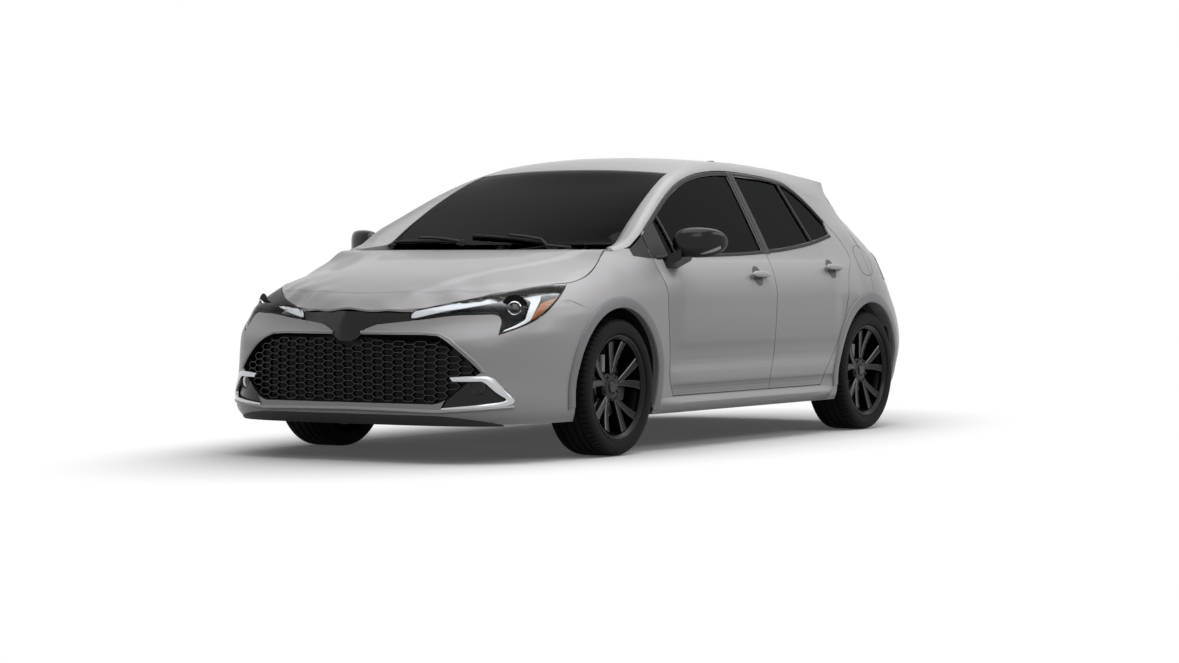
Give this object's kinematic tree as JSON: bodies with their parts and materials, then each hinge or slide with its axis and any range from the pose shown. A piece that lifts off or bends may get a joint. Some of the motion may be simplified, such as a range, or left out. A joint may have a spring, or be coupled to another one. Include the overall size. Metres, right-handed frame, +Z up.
{
  "type": "hatchback car",
  "caption": "Compact five-door hatchback with opening doors, hood and hatch, steered front wheels, cabin and load space.",
  "frame": {"origin": "on the ground below the middle of the car's box", "axes": "+X forward, +Y to the car's left, +Z up"},
  "size_m": [4.3602, 2.164, 1.4553],
  "materials": {
    "alloy": "black alloy",
    "carpet": "carpet",
    "cloth": "black cloth",
    "glass": "dark tinted",
    "gloss": "gloss black",
    "lamp": "clear",
    "paint": "silver grey metallic",
    "pipe": "steel",
    "red": "red",
    "rubber": "rubber",
    "soft": "grained",
    "steel": "raw",
    "trim": "black"
  },
  "bodies": {
    "body": {"body_side_left": "paint", "body_side_right": "paint", "roof_rails": "paint", "roof_panel": "paint", "windscreen": "glass", "fenders": "paint", "front_bumper": "paint", "grille": "gloss", "fog_bezels": "gloss", "headlamp_bowls": "trim", "headlamp_lenses": "lamp", "rear_bumper": "paint", "tail_lamps": "red", "floor": "paint", "wheel_housings": "trim", "bulkhead": "paint", "dashboard": "soft", "front_seats": "cloth", "rear_seat": "cloth", "load_floor": "carpet", "engine": "steel", "fuel_tank": "steel", "subframe": "steel", "rear_axle": "steel", "exhaust": "pipe", "antenna": "trim", "wipers": "trim"},
    "hood": {"hood": "paint"},
    "hatch": {"hatch": "paint", "hatch_glass": "glass", "spoiler": "gloss"},
    "door_front_left": {"door_front_left": "paint", "glass_front_left": "glass", "mirror_left": "gloss"},
    "wheel_front_left": {"rim_front_left": "alloy", "tyre_front_left": "rubber", "brake_disc_front_left": "steel"},
    "door_front_right": {"door_front_right": "paint", "glass_front_right": "glass", "mirror_right": "gloss"},
    "wheel_front_right": {"rim_front_right": "alloy", "tyre_front_right": "rubber", "brake_disc_front_right": "steel"},
    "door_rear_left": {"door_rear_left": "paint", "glass_rear_left": "glass"},
    "wheel_rear_left": {"rim_rear_left": "alloy", "tyre_rear_left": "rubber", "brake_disc_rear_left": "steel"},
    "door_rear_right": {"door_rear_right": "paint", "glass_rear_right": "glass"},
    "wheel_rear_right": {"rim_rear_right": "alloy", "tyre_rear_right": "rubber", "brake_disc_rear_right": "steel"},
    "knuckle_left": {"knuckle_left": "steel"},
    "knuckle_right": {"knuckle_right": "steel"},
    "steering": {"steering_wheel": "soft"}
  },
  "joints": [
    {"name": "steer_left", "type": "hinge", "parent": "body", "child": "knuckle_left", "pos_m": [1.225, 0.7, 0.3186], "axis": [-0.1166, -0.2041, 0.972], "range_deg": [-36, 36]},
    {"name": "steer_right", "type": "hinge", "parent": "body", "child": "knuckle_right", "pos_m": [1.225, -0.7, 0.3186], "axis": [-0.1166, 0.2041, 0.972], "range_deg": [-36, 36]},
    {"name": "spin_front_left", "type": "hinge", "parent": "knuckle_left", "child": "wheel_front_left", "pos_m": [1.225, 0.765, 0.3186], "axis": [0, 1, 0], "continuous": true},
    {"name": "spin_front_right", "type": "hinge", "parent": "knuckle_right", "child": "wheel_front_right", "pos_m": [1.225, -0.765, 0.3186], "axis": [0, 1, 0], "continuous": true},
    {"name": "spin_rear_left", "type": "hinge", "parent": "body", "child": "wheel_rear_left", "pos_m": [-1.415, 0.765, 0.3186], "axis": [0, 1, 0], "continuous": true},
    {"name": "spin_rear_right", "type": "hinge", "parent": "body", "child": "wheel_rear_right", "pos_m": [-1.415, -0.765, 0.3186], "axis": [0, 1, 0], "continuous": true},
    {"name": "steering_turn", "type": "hinge", "parent": "body", "child": "steering", "pos_m": [0.43, 0.37, 0.835], "axis": [-0.9135, 0, 0.4067], "range_deg": [-462, 462]},
    {"name": "door_front_left_swing", "type": "hinge", "parent": "body", "child": "door_front_left", "pos_m": [0.8465, 0.886, 0.6], "axis": [0, 0, -1], "range_deg": [0, 65]},
    {"name": "door_front_right_swing", "type": "hinge", "parent": "body", "child": "door_front_right", "pos_m": [0.8465, -0.886, 0.6], "axis": [0, 0, 1], "range_deg": [0, 65]},
    {"name": "door_rear_left_swing", "type": "hinge", "parent": "body", "child": "door_rear_left", "pos_m": [-0.269, 0.889, 0.6], "axis": [0, 0, -1], "range_deg": [0, 65]},
    {"name": "door_rear_right_swing", "type": "hinge", "parent": "body", "child": "door_rear_right", "pos_m": [-0.269, -0.889, 0.6], "axis": [0, 0, 1], "range_deg": [0, 65]},
    {"name": "hood_swing", "type": "hinge", "parent": "body", "child": "hood", "pos_m": [1.034, 0, 0.9585], "axis": [0, -1, 0], "range_deg": [0, 55]},
    {"name": "hatch_swing", "type": "hinge", "parent": "body", "child": "hatch", "pos_m": [-1.458, 0, 1.378], "axis": [0, 1, 0], "range_deg": [0, 75]}
  ],
  "couplings": [
    {"joint": "steer_right", "follows": "steer_left", "ratio": 1},
    {"joint": "steering_turn", "follows": "steer_left", "ratio": 12.8}
  ]
}
